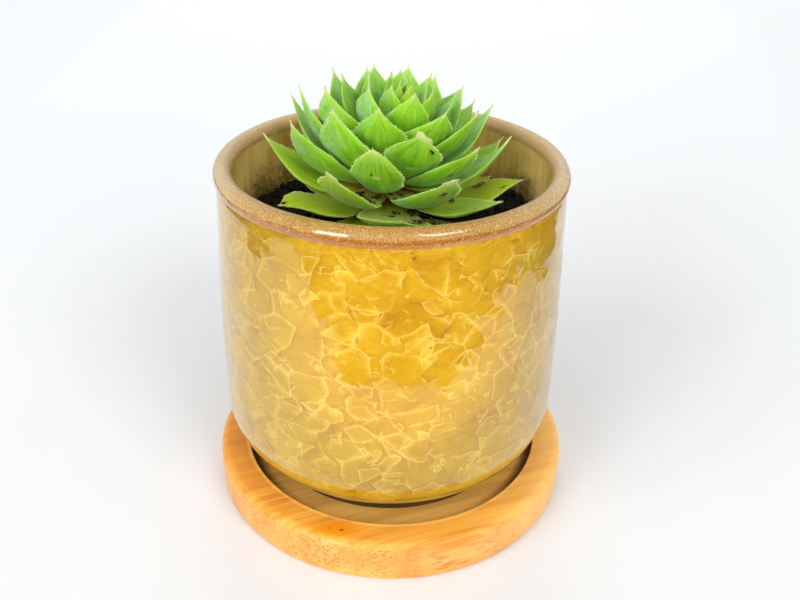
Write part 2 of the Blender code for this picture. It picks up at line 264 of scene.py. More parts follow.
RIM_RADIUS = 40.0 * MM
RIM_WIDTH = 4.3 * MM
RIM_ROUNDING = 2.3 * MM
RIM_START = -48                     # degrees: the rolled rim turns in under itself to meet the neck
LIP_DEPTH = 4.3 * MM
NECK_RADIUS = 39.35 * MM
BELLY_RADIUS = 41.0 * MM
WALL_POWER = 2.1                    # the wall stays wide for long, then draws in towards the neck
BOTTOM_LEVEL = 10.9 * MM
BOTTOM_ROUNDING = 15.0 * MM
FOOT_RADIUS = 31.2 * MM
FOOT_WIDTH = 3.5 * MM
FOOT_CHAMFER = 0.5 * MM
INNER_RADIUS = 36.4 * MM
INNER_TAPER = 0.3 * MM              # how much narrower the inner wall is just under the rim
INNER_TURN = 1.0 * MM               # from the rounding of the rim down to the inner wall
INNER_ROUNDING = 11.0 * MM
FLOOR_THICKNESS = 4.5 * MM
DRAIN_RADIUS = 4.5 * MM
POT_STEPS = 256
WALL_ROWS = 34
INNER_ROWS = 12
GLAZE_WAVE = 0.10 * MM              # the glaze lies unevenly, in swells this deep and this wide
GLAZE_WAVE_WIDTH = 9 * MM
SHARDS = ((8.0, 0.30, 0.44), (5.2, 0.42, 0.54), (3.4, 0.54, 0.64))    # width in mm, how they fade in
SHARD_FLATTENING = (1.0, 1.0, 1.28)     # the shards are wider than they are high
SHARD_TILT = 0.045
CELL_WARP = 2.0                     # how far a crack strays from straight, in millimetres
CRACK_WIDTH = 0.38                  # of the pale line and of the raised side next to it, in millimetres
SIDE_WIDTH = 1.1
RIBBON = 0.36                       # how pale the raised side is, beside the crack itself
THICK_PLACE = (3.0, -41.0, 62.0)    # centre and reach of the thickest glaze, in millimetres
THICK_SIZE = (30.0, 40.0, 34.0)
DARK_SPECKS = (((4.1, -38.1, 79.5), 0.35), ((3.7, -38.1, 80.6), 0.3), ((8.0, -38.3, 59.7), 0.25))


def mix(start, end, share):
    """The value that lies at this share of the way from start to end."""
    return start + (end - start) * share


def amber_glaze(centre, rim_top, soil_top):
    """Amber crackle glaze: sharp gloss over a softer one, and colour that pales towards every crack."""
    made, tree, shader, mm = new_finish("amber_crackle_glaze", 0.3, IOR=1.5, Coat_Weight=1.0,
                                        Coat_Roughness=0.04, Coat_IOR=1.68, Specular_IOR_Level=0.2)
    sideways, inward, level = add_node(tree, "SeparateXYZ", {"Vector": mm}).outputs
    reach = distance_from(tree, mm, (centre.x / MM, centre.y / MM, 0), (1, 1, math.inf))
    top = rim_top / MM
    mouth = (RIM_RADIUS - RIM_WIDTH) / MM

    # shards of three sizes: each has its own slight tilt, and is light along its raised side only: a painted
    # highlight on the crack there, and painted light and shade across the shard beside it
    warp = add_node(tree, "TexNoise", {"Vector": mm, "Scale": 1 / 5, "Detail": 4.0, "Roughness": 0.55})
    pull = add_node(tree, "VectorMath", {0: warp.outputs["Color"], 1: (0.5, 0.5, 0.5)}, operation="SUBTRACT")
    push = add_node(tree, "VectorMath", {0: pull, "Scale": CELL_WARP}, operation="SCALE")
    warped = add_node(tree, "VectorMath", {0: mm, 1: push}, operation="ADD")
    warped = add_node(tree, "VectorMath", {0: warped, 1: SHARD_FLATTENING}, operation="MULTIPLY")
    lines, sides, tilts = [], [], []
    for size, fade_from, fade_to in SHARDS:
        edge = add_node(tree, "TexVoronoi", {"Vector": warped, "Scale": 1 / size}, feature="DISTANCE_TO_EDGE")
        shade = add_node(tree, "TexNoise", {"Vector": mm, "Scale": 1 / (1.2 * size), "Detail": 1.0})
        near, wide, fade = (
            add_node(tree, "MapRange", {"Value": pattern, "From Min": start, "From Max": full},
                     interpolation_type="SMOOTHSTEP")
            for pattern, start, full in (
                (edge, CRACK_WIDTH / size, 0.0), (edge, SIDE_WIDTH / size, 0.0), (shade, fade_from, fade_to)))
        cell = add_node(tree, "TexVoronoi", {"Vector": warped, "Scale": 1 / size}, feature="F1")
        inside = add_node(tree, "VectorMath", {0: warped, 1: cell.outputs["Position"]}, operation="SUBTRACT")
        own = cell.outputs["Color"]
        lean = add_node(tree, "VectorMath", {0: own, 1: (0.5, 0.5, 0.5)}, operation="SUBTRACT")
        rise = add_node(tree, "VectorMath", {0: inside, 1: lean}, operation="DOT_PRODUCT")
        side = add_node(tree, "MapRange", {
            "Value": rise, "From Min": -0.10 * size, "From Max": 0.10 * size, "To Min": -1.0})
        ribbon = add_node(tree, "Math", {0: wide, 1: RIBBON}, operation="MULTIPLY")
        crest = add_node(tree, "Math", {0: near, 1: ribbon}, operation="MAXIMUM")
        lit = add_node(tree, "MapRange", {"Value": side, "From Min": -0.5, "From Max": 0.7, "To Min": 0.12})
        for found, part, share in ((lines, crest, lit), (sides, side, wide)):
            part = add_node(tree, "Math", {0: part, 1: share}, operation="MULTIPLY")
            found.append(add_node(tree, "Math", {0: part, 1: fade}, operation="MULTIPLY"))
        tilts.append(lean)
    line = add_node(tree, "Math", {0: lines[0], 1: lines[1]}, operation="MAXIMUM")
    line = add_node(tree, "Math", {0: line, 1: lines[2]}, operation="MAXIMUM")
    step = add_node(tree, "Math", {0: sides[0], 1: sides[1]}, operation="ADD")
    step = add_node(tree, "Math", {0: step, 1: sides[2]}, operation="ADD")
    tilt = add_node(tree, "VectorMath", {0: tilts[0], 1: tilts[1]}, operation="ADD")

    # how deep the amber is: clouds, shards, fine grains, and streaks from dipping, which are drawn 0.4 mm
    # apart, coarser than they are; the step beside each crack is painted light and shade
    cloud = add_node(tree, "TexNoise", {"Vector": mm, "Scale": 1 / 9, "Detail": 4.0, "Roughness": 0.6})
    cell_shade = add_node(tree, "VectorMath", {0: tilt, 1: (0.06, 0.06, 0.06)}, operation="DOT_PRODUCT")
    calm = add_node(tree, "Math", {0: cloud, 1: 0.6, 2: 0.2}, operation="MULTIPLY_ADD")
    depth = add_node(tree, "Math", {0: calm, 1: cell_shade}, operation="ADD")
    dip = add_node(tree, "VectorMath", {0: mm, 1: (1 / 2.2, 1 / 2.2, 1 / 0.4)}, operation="MULTIPLY")
    streaks = add_node(tree, "TexNoise", {"Vector": dip, "Scale": 1.0, "Detail": 3.0, "Roughness": 0.7})
    grain = add_node(tree, "TexNoise", {"Vector": mm, "Scale": 1 / 0.42, "Detail": 3.0, "Roughness": 0.7})
    grained = add_node(tree, "Math", {0: grain, 1: 0.5}, operation="SUBTRACT")
    for pattern, strength in ((streaks, 0.30), (step, 0.10), (grained, 0.35)):
        depth = add_node(tree, "Math", {0: pattern, 1: strength, 2: depth}, operation="MULTIPLY_ADD")
    amber = add_node(tree, "ValToRGB", {"Fac": depth}, stops=(
        (0.40, "#AE7804"), (0.56, "#BE8C08"), (0.70, "#C89812"), (0.82, "#D0A422"), (0.98, "#DAB444")))
    # the glaze is thickest, brightest and most orange high on the front; away from there a painted cool veil
    # turns it olive, painted reflection and shade for the paler, less lit sides
    thick = distance_from(tree, mm, THICK_PLACE, THICK_SIZE)
    away_from_front = add_node(tree, "MapRange", {"Value": thick, "From Min": 0.52, "From Max": 1.05},
                       interpolation_type="SMOOTHSTEP")
    rightward = add_node(tree, "MapRange", {
        "Value": sideways, "From Min": -22.0, "From Max": 4.0, "To Min": 1.0, "To Max": 0.3})
    low_down = add_node(tree, "MapRange", {
        "Value": level, "From Min": top - 5.0, "From Max": top - 13.0, "To Min": rightward})
    # how strongly the painted cool veil, a painted reflection and shade, lies on the amber
    thin = add_node(tree, "Math", {0: away_from_front, 1: low_down}, operation="MULTIPLY")
    amber = add_node(tree, "Mix", {"Factor": thin, "A": amber, "B": "#E0EAFA"}, data_type="RGBA",
                     blend_type="MULTIPLY")
    # the cracks show less where the glaze is thin, and not at all just under the rim
    fainter = add_node(tree, "MapRange", {
        "Value": thick, "From Min": 0.7, "From Max": 1.3, "To Min": 0.47, "To Max": 0.16})
    cracks = add_node(tree, "Math", {0: line, 1: fainter}, operation="MULTIPLY")

    # inside, the amber runs down in streaks and disappears under smeared soil; the runs are painted much
    # paler than the amber outside, painted light for the shaded inside
    run_size = add_node(tree, "VectorMath", {0: mm, 1: (1 / 2.6, 1 / 2.6, 1 / 18)}, operation="MULTIPLY")
    runs = add_node(tree, "TexNoise", {"Vector": run_size, "Scale": 1.0, "Detail": 2.0})
    amber_runs = add_node(tree, "ValToRGB", {"Fac": runs}, stops=(
        (0.34, "#E8B850"), (0.46, "#F8CC70"), (0.58, "#FFDA86"), (0.70, "#F2CA70")))
    dust = add_node(tree, "TexNoise", {"Vector": mm, "Scale": 1 / 1.3, "Detail": 4.0, "Roughness": 0.75})
    drift = add_node(tree, "TexNoise", {"Vector": mm, "Scale": 1 / 13, "Detail": 1.0})
    climb = add_node(tree, "MapRange", {
        "Value": level, "From Min": soil_top / MM + 13.0, "From Max": soil_top / MM, "To Max": 0.70})
    dusty = add_node(tree, "Math", {0: climb, 1: dust}, operation="ADD")
    drifted = add_node(tree, "Math", {0: drift, 1: 0.9, 2: dusty}, operation="MULTIPLY_ADD")
    lining = paint_over(tree, amber_runs, [(drifted, 1.32, 1.76, 0.90, 1.0, "#5E4E2E")])

    # rim: tan, peppered with fine specks, with a rust-brown mottled band where the thick glaze stops
    specks = add_node(tree, "TexNoise", {"Vector": mm, "Scale": 1 / 0.38, "Detail": 3.0, "Roughness": 0.75})
    tan = add_node(tree, "ValToRGB", {"Fac": specks}, stops=(
        (0.30, "#82561A"), (0.44, "#9A6E26"), (0.56, "#AA8034"), (0.70, "#D2B064")))
    ragged = add_node(tree, "TexNoise", {"Vector": mm, "Scale": 1 / 1.8, "Detail": 4.0, "Roughness": 0.7})
    shift = add_node(tree, "Math", {0: ragged, 1: 2.6, 2: level}, operation="MULTIPLY_ADD")
    lip = top + 1.3                 # the mean of the noise lifts the line by this much
    grey_tan = add_node(tree, "ValToRGB", {"Fac": specks}, stops=(
        (0.30, "#AC8C62"), (0.44, "#C4A87C"), (0.56, "#D2BA8E"), (0.70, "#EADAB2")))
    middle = centre.y / MM
    rim_colour = paint_over(tree, tan, [
        (inward, middle - 35.0, middle - 12.0, 1.0, 1.0, grey_tan),
        (reach, mouth + 1.9, mouth + 0.5, 0.6, 1.0, "#A8782A")])
    below = add_node(tree, "MapRange", {"Value": shift, "From Min": lip - 1.4, "From Max": lip - 2.6})
    outside = add_node(tree, "MapRange", {"Value": reach, "From Min": 38.6, "From Max": 39.1, "To Max": 0.85})
    rust = add_node(tree, "Math", {0: below, 1: outside}, operation="MULTIPLY")
    mottled = add_node(tree, "ValToRGB", {"Fac": specks}, stops=(
        (0.36, "#863C06"), (0.50, "#984C0C"), (0.60, "#B8701C"), (0.70, "#E2AE44")))

    # over the amber lie the cracks, the lining, the rim and its rust-brown edge; the glaze gathered at the
    # turn of the bottom, where it ends, and burst over a few dark specks; below it the foot is painted nearly
    # black, a painted shadow under the pot
    layers = [
        (level, top - 5.0, top - 9.0, 1.0, cracks, "#F2CE68"),
        (reach, mouth + 1.6, mouth + 1.0, 1.0, 1.0, lining),
        (shift, lip - 3.4, lip - 2.0, 1.0, 1.0, rim_colour),
        (shift, lip - 4.4, lip - 3.0, 1.0, rust, mottled),
        (level, 18.0, 14.0, 1.0, 1.0, "#D29A40"),
        # the bare foot, painted nearly black: painted shadow under the pot
        (level, 13.7, 13.2, 1.0, 1.0, "#241206")]
    for spot, size in DARK_SPECKS:
        off = add_node(tree, "VectorMath", {0: mm, 1: spot}, operation="DISTANCE")
        ragged_off = add_node(tree, "Math", {0: specks, 1: 1.2, 2: off}, operation="MULTIPLY_ADD")
        layers.append((ragged_off, size + 0.7, size + 0.35, 0.85, 1.0, "#5A3410"))
    colour = paint_over(tree, amber, layers)
    tipped = add_node(tree, "VectorMath", {0: tilt, "Scale": SHARD_TILT}, operation="SCALE")
    normal = add_node(tree, "NewGeometry").outputs["Normal"]
    leaning = add_node(tree, "VectorMath", {0: normal, 1: tipped}, operation="ADD")
    facing = add_node(tree, "VectorMath", {0: leaning}, operation="NORMALIZE")
    bump = add_node(tree, "Bump", {"Height": line, "Normal": facing, "Strength": 0.35, "Distance": 0.05 * MM})
    feed(tree, shader, {"Base Color": colour, "Normal": bump, "Coat Normal": bump})
    return made


low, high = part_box("glazed_pot")
pot_centre = 0.5 * (low + high)
rim_top = high.z
soil_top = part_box("potting_soil")[1].z - 0.5 * MM
floor_level = BOTTOM_LEVEL + FLOOR_THICKNESS
profile = [(FOOT_RADIUS - FOOT_WIDTH, low.z), (FOOT_RADIUS - FOOT_CHAMFER, low.z),
           (FOOT_RADIUS, low.z + FOOT_CHAMFER)]
# the rounding of the bottom begins where it meets the foot
foot_angle = -math.degrees(math.acos((FOOT_RADIUS - BELLY_RADIUS + BOTTOM_ROUNDING) / BOTTOM_ROUNDING))
profile += arc((BELLY_RADIUS - BOTTOM_ROUNDING, BOTTOM_LEVEL + BOTTOM_ROUNDING), BOTTOM_ROUNDING,
               foot_angle, 0, 20)
for row in range(1, WALL_ROWS + 1):
    share = row / WALL_ROWS
    profile.append((mix(BELLY_RADIUS, NECK_RADIUS, share ** WALL_POWER),
                    mix(BOTTOM_LEVEL + BOTTOM_ROUNDING, rim_top - LIP_DEPTH, share)))
profile += arc((RIM_RADIUS - 0.5 * RIM_WIDTH, rim_top - RIM_ROUNDING), 0.5 * RIM_WIDTH, RIM_START, 180, 26,
               height=RIM_ROUNDING)
for row in range(INNER_ROWS):
    share = row / (INNER_ROWS - 1)
    profile.append((mix(INNER_RADIUS - INNER_TAPER, INNER_RADIUS, share),
                    mix(rim_top - RIM_ROUNDING - INNER_TURN, floor_level + INNER_ROUNDING, share)))
profile += arc((INNER_RADIUS - INNER_ROUNDING, floor_level + INNER_ROUNDING), INNER_ROUNDING, 0, -90, 8)
profile += [(DRAIN_RADIUS, floor_level), (DRAIN_RADIUS, BOTTOM_LEVEL),
            (FOOT_RADIUS - FOOT_WIDTH, BOTTOM_LEVEL)]
pot = turned(profile, True, POT_STEPS, pot_centre)
for vert in pot.verts:
    outward = Vector((vert.co.x - pot_centre.x, vert.co.y - pot_centre.y, 0.0))
    swell = noise.noise(vert.co / GLAZE_WAVE_WIDTH) - 1.0
    vert.co += outward.normalized() * GLAZE_WAVE * swell
put_down("crackle_glazed_pot", pot, [amber_glaze(pot_centre, rim_top, soil_top)], ["glazed_pot"])


# ---- Potting soil ----------------------------------------------------------------------------------
# Dark, damp peat compost. The fill itself is the CAD solid; loose crumbs lie all over it and cling to
# the wall above it.

CRUMB_COUNT = 2600
CRUMB_RADIUS = 0.35 * MM            # of the smallest; a few are up to four times as large
WALL_CRUMB_COUNT = 260
WALL_CRUMB_LEVEL = 9 * MM           # how high above the soil they cling
CRUMB_BATCH = 100
chance = random.Random(11)


def damp_peat():
    """Damp peat: nearly black and matt, with brown fibres and a few wet glints."""
    made, tree, shader, mm = new_finish("damp_peat", 0.75, Specular_IOR_Level=0.35)
    grains = add_node(tree, "TexNoise", {"Vector": mm, "Scale": 1 / 0.7, "Detail": 4.0, "Roughness": 0.7})
    colour = add_node(tree, "ValToRGB", {"Fac": grains}, stops=(
        (0.30, "#0B0907"), (0.50, "#1A1410"), (0.62, "#2E2116"), (0.72, "#4A3421"), (0.80, "#1F1A18")))
    wet = add_node(tree, "MapRange", {
        "Value": grains, "From Min": 0.40, "From Max": 0.60, "To Min": 0.35, "To Max": 0.85})
    bump = add_node(tree, "Bump", {"Height": grains, "Strength": 0.9, "Distance": 0.6 * MM})
    feed(tree, shader, {"Base Color": colour, "Roughness": wet, "Normal": bump})
    return made


def crumb_heap(places):
    """Crumbs at the given centres and sizes, 20 faces each, squashed and turned at random."""
    heap = bmesh.new()
    for start in range(0, len(places), CRUMB_BATCH):
        batch = bmesh.new()
        for centre, size in places[start:start + CRUMB_BATCH]:
            squash = Matrix.Diagonal([chance.uniform(0.6, 1.3) for _ in range(3)]).to_4x4()
            turn = Euler([chance.uniform(0, math.tau) for _ in range(3)]).to_matrix().to_4x4()
            bmesh.ops.create_icosphere(batch, subdivisions=1, radius=size,
                                       matrix=Matrix.Translation(centre) @ turn @ squash)
        mesh = bpy.data.meshes.new("batch")
        batch.to_mesh(mesh)
        batch.free()
        heap.from_mesh(mesh)
        bpy.data.meshes.remove(mesh)
    return heap


peat = damp_peat()
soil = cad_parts["potting_soil"]
for slot in soil.material_slots:
    slot.material = peat
soil_tree = BVHTree.FromObject(soil, bpy.context.evaluated_depsgraph_get())
places = []
for _ in range(CRUMB_COUNT):
    reach = (INNER_RADIUS - 0.5 * MM) * math.sqrt(chance.uniform(0.04, 1.0))
    angle = chance.uniform(0, math.tau)
    above = Vector((pot_centre.x + reach * math.cos(angle), pot_centre.y + reach * math.sin(angle), rim_top))
    landed = soil_tree.ray_cast(above, Vector((0, 0, -1)))[0]
    size = CRUMB_RADIUS * (1 + 3.0 * chance.random() ** 3)
    if landed and landed.z > soil_top - 2 * MM:
        places.append((landed + Vector((0, 0, 0.25 * size)), size))
for _ in range(WALL_CRUMB_COUNT):
    angle = chance.uniform(0, math.tau)
    reach = INNER_RADIUS - 0.1 * MM
    foot = Vector((pot_centre.x + reach * math.cos(angle), pot_centre.y + reach * math.sin(angle), soil_top))
    climbed = Vector((0, 0, WALL_CRUMB_LEVEL * chance.random() ** 2.2))
    places.append((foot + climbed, chance.uniform(0.15, 0.45) * MM))
put_down("soil_crumbs", crumb_heap(places), [peat])


# ---- Leaves ----------------------------------------------------------------------------------------
# Fleshy, pointed leaves that grow one after another round the stem, each a golden angle on from the
# last. A pale skin edge carries short stiff hairs, and every leaf ends in a dry pale point.

CROWN_OFFSET = Vector((-1.6 * MM, 5.9 * MM, 0.0))   # from the pot's axis
CROWN_LEVEL = 73.4 * MM
LEAN_RIGHT = math.radians(8.8)
LEAN_FRONT = math.radians(2.4)
STEM_RADIUS = 3.9 * MM
STEM_HEIGHT = 13.0 * MM
BUD_RADIUS = 0.9 * MM
LEAF_COUNT = 52
FULL_GROWN = 47                     # the leaf that counts as fully grown, of age 1
GOLDEN_ANGLE = math.radians(137.508)
FIRST_AZIMUTH = math.radians(206.2)
# how the bowl that a leaf lies on opens with its age: its base, its tip, and how steeply it leaves the stem
BASE_TOP = 12.4 * MM
BASE_OFFSET = 0.6 * MM
TIP_REACH, TIP_REACH_GROWTH, TIP_REACH_SLOWING = 1.5 * MM, 44.0 * MM, 13.6 * MM
TIP_TOP, TIP_FALL, TIP_FALL_POWER = 28.6 * MM, 23.6 * MM, 2.5
RISE_YOUNG, RISE_OLD, RISE_POWER = 84.0, -4.0, 0.7
FLATTEST_AGE = 0.85
KNEE = 0.55
KNEE_DROOP = 0.3
LEAF_WIDTH = 12.4 * MM
LEAF_THICKNESS = 2.2 * MM
LEAF_GRID = (25.0, 6.0)             # length and half width that the patterns of the skin reckon with, in mm
LEAF_LAYERS = ("along", "across", "age", "tone", "sheen_and_bloom")       # what the skin knows at each point
LEAF_SIDES = 28
LEAF_STATIONS = 44
FLATNESS = 0.45                     # 0: bent round the rosette, 1: flat across
MARGIN_WAVE = 0.07
MARGIN_RIPPLE = 0.30 * MM
SKIN_RELIEF = 0.16 * MM
HAIR_SPACING = 0.55 * MM
HAIRY_SHARE = 0.72                  # of the length of the edge
WALL_CLEARANCE = 1.2 * MM
USUAL_FORM = (0.56, 2.0, 1.5)       # widest point, fullness of the shoulders, how drawn-out the tip is
LEAF_FORM = {31: (0.60, 2.3, 0.95), 23: (0.60, 2.2, 0.9), 36: (0.60, 2.2, 0.9), 39: (0.60, 2.2, 0.95)}
# what single leaves do: degrees turned round the stem, millimetres that the tip hangs lower, share of the
# full length, millimetres that the tip curls down, degrees that the base stands off the line to the tip,
# degrees rolled to one side, and breadth against the usual
LEAF_TURN = {10: 11, 13: 12, 14: 6, 15: 8, 19: 8, 20: 5, 22: 4, 23: 2, 26: -4, 27: 4, 28: 3, 31: -6, 34: -5}
LEAF_DROOP = {10: -1.1, 13: -0.9, 15: 1.2, 16: 1.2, 19: 1, 23: 1.5, 25: -1, 26: -1.5, 28: 1, 29: -0.8,
              31: -0.5, 33: -2, 34: -0.5, 37: -1.2, 41: 2, 42: -1.2, 46: -6.5, 47: -0.5, 49: -8, 51: -1.5,
              52: -2.5}
LEAF_LENGTH = {49: 0.85, 50: 0.6}
LEAF_CURL = {46: 4.0, 47: 2.5}
LEAF_SWAY = {31: 6}
LEAF_ROLL = {13: -6, 15: -10, 18: 12, 20: -10, 21: 34, 23: -6, 24: 8, 26: 15, 28: -8, 29: 24, 31: 5,
             32: 12, 34: 24, 37: 16, 42: -4}
LEAF_BREADTH = {26: 1.05, 31: 0.87, 44: 1.25}
# width left at a broken tip, and its slant
TIP_CUT = {23: (0.30, 0.10), 36: (0.26, -0.06), 39: (0.20, 0.06)}
# pale patches, where a fold rubbed leaf 31's skin and a painted highlight on leaf 23: leaf, place along and
# across it, size in millimetres
RUBS_AND_HIGHLIGHTS = ((31, (0.70, 0.04), 0.8), (23, (0.56, -0.10), 1.0))

crown = Vector((pot_centre.x, pot_centre.y, CROWN_LEVEL)) + CROWN_OFFSET
rosette = Matrix.Translation(crown) @ Euler((LEAN_FRONT, LEAN_RIGHT, 0.0)).to_matrix().to_4x4()


def stem_radius(height):
    """Radius of the tapering stem at a height above the crown."""
    return mix(STEM_RADIUS, BUD_RADIUS, min(max(height / STEM_HEIGHT, 0.0), 1.0))


def leaf_curve(age, along, droop, curl):
    """Point and inward normal, as radius and height, on the bowl that a leaf of this age lies on."""
    base_z = mix(BASE_TOP, 0.0, age)
    base_r = stem_radius(base_z) + BASE_OFFSET
    tip_r = TIP_REACH + TIP_REACH_GROWTH * age - TIP_REACH_SLOWING * age ** 2
    tip_z = TIP_TOP - TIP_FALL * max(age, 0.0) ** TIP_FALL_POWER - droop
    rise = math.radians(mix(RISE_YOUNG, RISE_OLD, min(1.0, max(age, 0.0) / FLATTEST_AGE) ** RISE_POWER))
    knee = KNEE * math.hypot(tip_r - base_r, tip_z - base_z)
    knee_r = base_r + knee * math.cos(rise)
    knee_z = base_z + knee * math.sin(rise) + KNEE_DROOP * droop
    back = 1.0 - along
    radius = back ** 2 * base_r + 2 * back * along * knee_r + along ** 2 * tip_r
    height = back ** 2 * base_z + 2 * back * along * knee_z + along ** 2 * tip_z
    bend = max(0.0, 3.0 * along - 2.0)
    height -= curl * bend ** 2
    slope_r = back * (knee_r - base_r) + along * (tip_r - knee_r)
    slope_z = back * (knee_z - base_z) + along * (tip_z - knee_z) - 3.0 * curl * bend
    length = math.hypot(slope_r, slope_z)
    return radius, height, -slope_z / length, slope_r / length


def leaf_outline(along, form, cut):
    """Half-width as a share of the greatest: a narrow base, a broad upper half, a drawn-out tip."""
    widest, fullness, draw = form
    if along < widest:
        swell = math.sin(0.5 * math.pi * along / widest)
        return (0.50 + 0.50 * swell ** 2) * min(1.0, 4.0 * math.sqrt(along))
    past = (along - widest) / (1.0 - widest)
    body = max(0.0, 1.0 - (past / 0.94) ** fullness) ** draw
    blunt = cut * min(1.0, 14.0 * math.sqrt(1.0 - along))
    return max(body, blunt) + 0.045 * math.sqrt(1.0 - past)


def leaf_depth(along):
    """Thickness as a share of the greatest."""
    blade = 0.38 + 0.62 * math.sin(math.pi * along ** 0.9)
    return blade * min(1.0, 5.0 * math.sqrt(along)) * min(1.0, 0.25 + 2.2 * (1.0 - along))


def leaf_reach(age, azimuth, *shape):
    """Share of its bowl that a leaf covers: less where the pot's wall or the soil is in the way."""
    for percent in range(100, 50, -2):
        radius, height, _, _ = leaf_curve(age, percent / 100, *shape)
        tip = rosette @ Vector((radius * math.cos(azimuth), radius * math.sin(azimuth), height))
        off_axis = math.hypot(tip.x - pot_centre.x, tip.y - pot_centre.y)
        if tip.z > soil_top + WALL_CLEARANCE and (
                tip.z > rim_top or off_axis < INNER_RADIUS - WALL_CLEARANCE):
            break
    return percent / 100


class Leaf:
    """One leaf's place in the spiral and its shape."""

    def __init__(self, number):
        self.number = number
        self.age = (number - 0.5) / FULL_GROWN
        grown = max(self.age, 0.0)
        self.azimuth = FIRST_AZIMUTH - GOLDEN_ANGLE * number + math.radians(LEAF_TURN.get(number, 0))
        self.half_width = 0.5 * LEAF_WIDTH * min(1.0, 0.35 + 2.4 * grown) * LEAF_BREADTH.get(number, 1.0)
        self.thickness = LEAF_THICKNESS * min(1.0, 0.45 + 1.2 * grown)
        self.form = LEAF_FORM.get(number, USUAL_FORM)
        self.cut, self.slant = TIP_CUT.get(number, (0.0, 0.0))
        self.sway = math.radians(LEAF_SWAY.get(number, 0.0))
        self.roll = math.radians(LEAF_ROLL.get(number, 0.0))
        self.shape = LEAF_DROOP.get(number, 0.0) * MM, LEAF_CURL.get(number, 0.0) * MM
        self.reach = min(leaf_reach(self.age, self.azimuth, *self.shape), LEAF_LENGTH.get(number, 1.0))

    def point(self, along, across, face):
        """A point of the skin: across runs from -1 to 1 between the edges, face from -1 outside to 1."""
        side = math.copysign(1.0, across)
        wave = noise.noise(Vector((9.0 * along, 2.0 * side, 7.3 * self.number)))
        width = self.half_width * leaf_outline(along, self.form, self.cut) * (1 + MARGIN_WAVE * wave)
        shift = 0.10 * noise.noise(Vector((3.0 * along, 0.5, 3.1 * self.number))) * self.half_width * along
        swing = self.sway * (1.0 - along)
        along -= self.slant * across * max(0.0, along - 0.6)
        radius, height, normal_r, normal_z = leaf_curve(self.age, along * self.reach, *self.shape)
        aside = across * width * math.cos(self.roll) + shift
        lie = 0.3 if face > 0.0 else -0.7
        relief = noise.noise(Vector((7.0 * along, 2.0 * across, 5.7 * self.number + face)))
        ripple = noise.noise(Vector((6.0 * along, 3.0 * side, 4.9 * self.number)))
        offset = lie * abs(face) ** 1.3 * self.thickness * leaf_depth(along)
        offset += SKIN_RELIEF * abs(face) * relief
        offset += MARGIN_RIPPLE * across ** 2 * ripple
        offset += across * width * math.sin(self.roll)
        radius += offset * normal_r
        height += offset * normal_z
        turn = self.azimuth + swing + (1.0 - FLATNESS) * aside / max(radius, 1.5 * MM)
        aside *= FLATNESS
        return rosette @ Vector((radius * math.cos(turn) - aside * math.sin(turn),
                                 radius * math.sin(turn) + aside * math.cos(turn), height))


